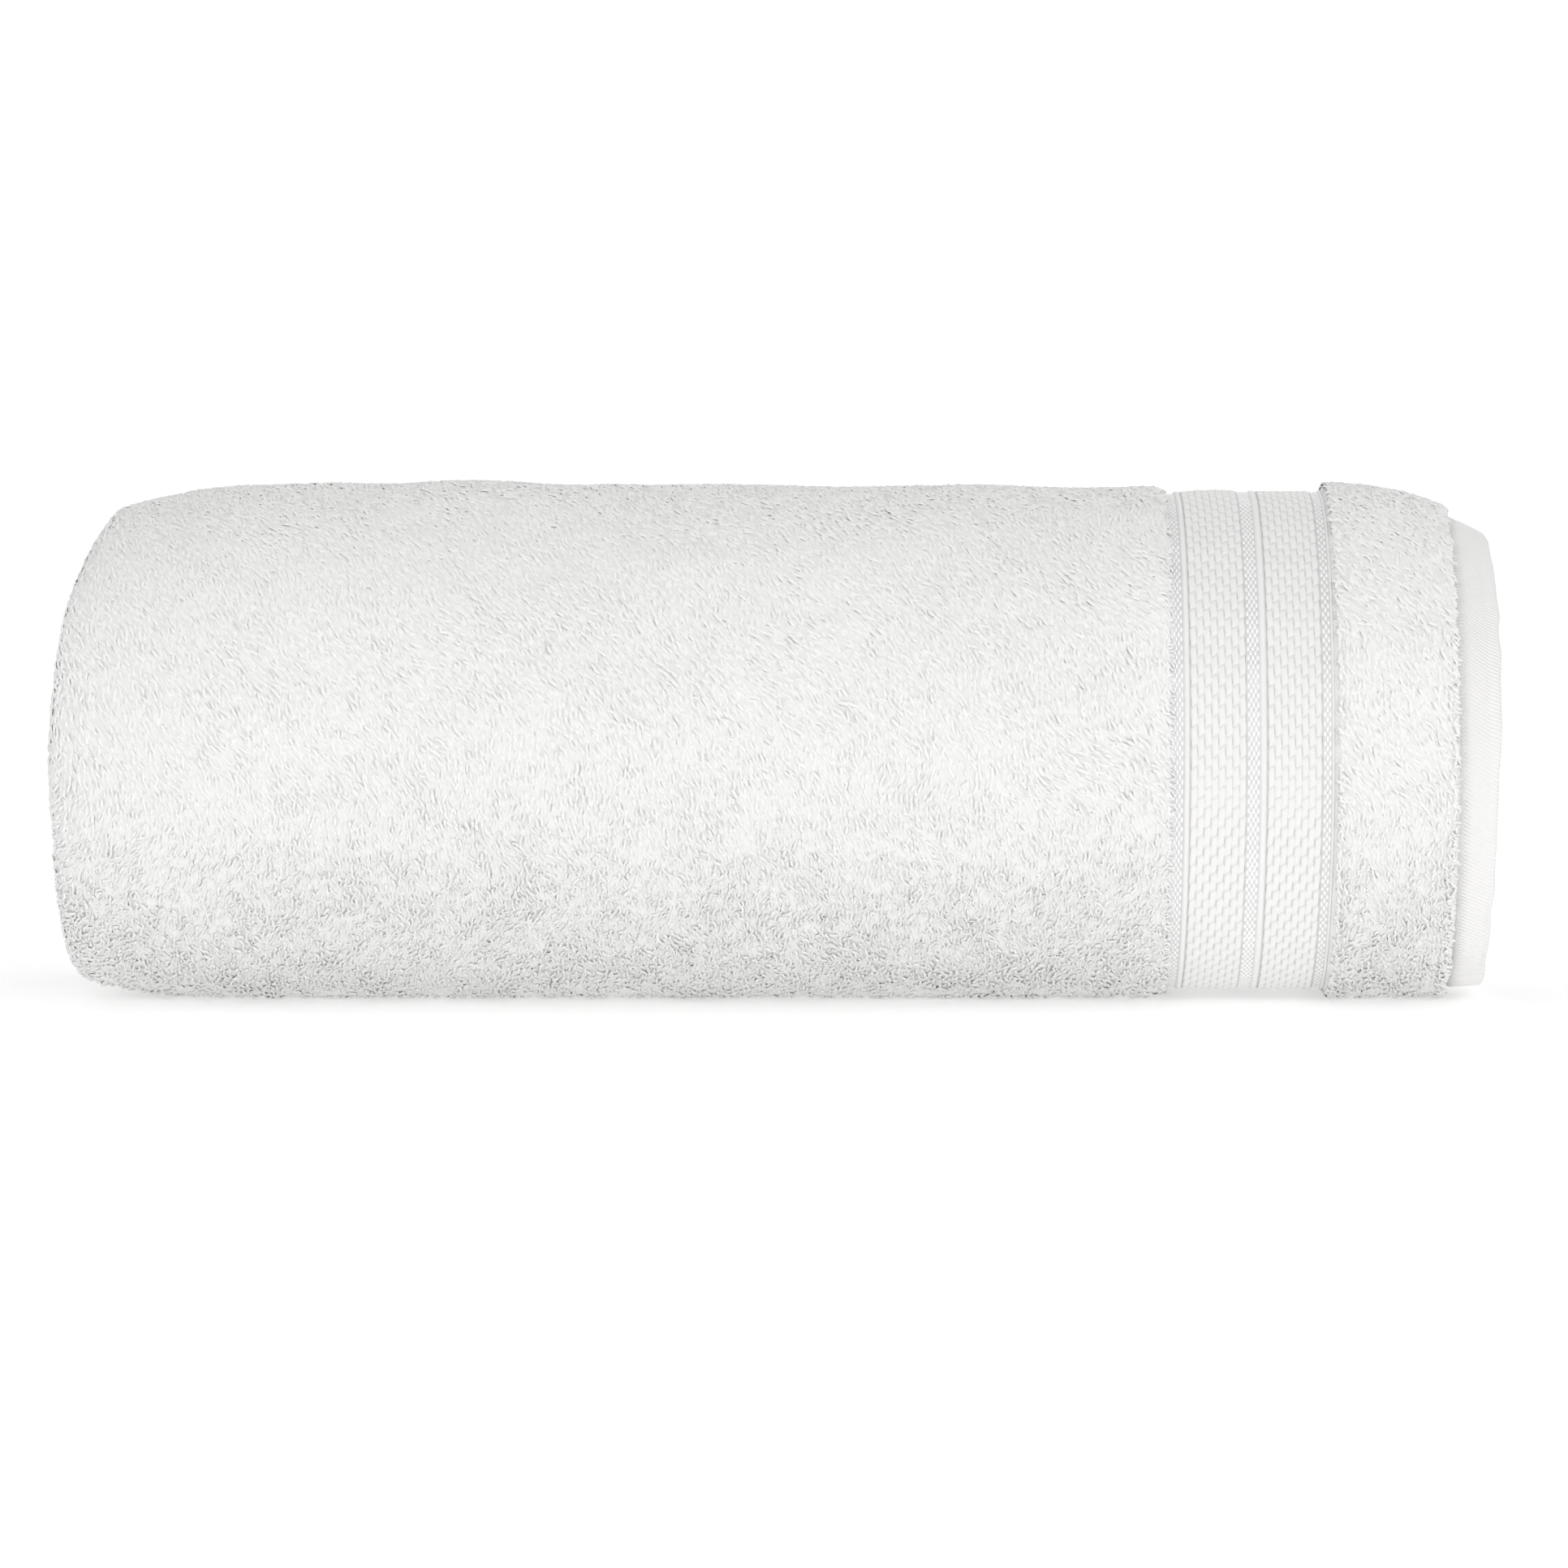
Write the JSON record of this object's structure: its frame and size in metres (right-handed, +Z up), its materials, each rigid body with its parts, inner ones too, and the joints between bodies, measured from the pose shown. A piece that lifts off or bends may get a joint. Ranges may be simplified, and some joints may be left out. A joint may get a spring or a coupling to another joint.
{
  "type": "rolled bath sheet",
  "caption": "Rolled terry bath sheet with a woven border near its hemmed end, for shelf or basket storage.",
  "frame": {"origin": "on the floor, under the middle of the roll", "axes": "+X along the roll towards the hemmed end, -Y towards the side with no loose edge, +Z up"},
  "size_m": [0.4486, 0.1748, 0.1608],
  "materials": {
    "terry": "looped white cotton pile, with a flat woven border and hem"
  },
  "bodies": {
    "root": {"bath_sheet": "terry"}
  },
  "joints": []
}
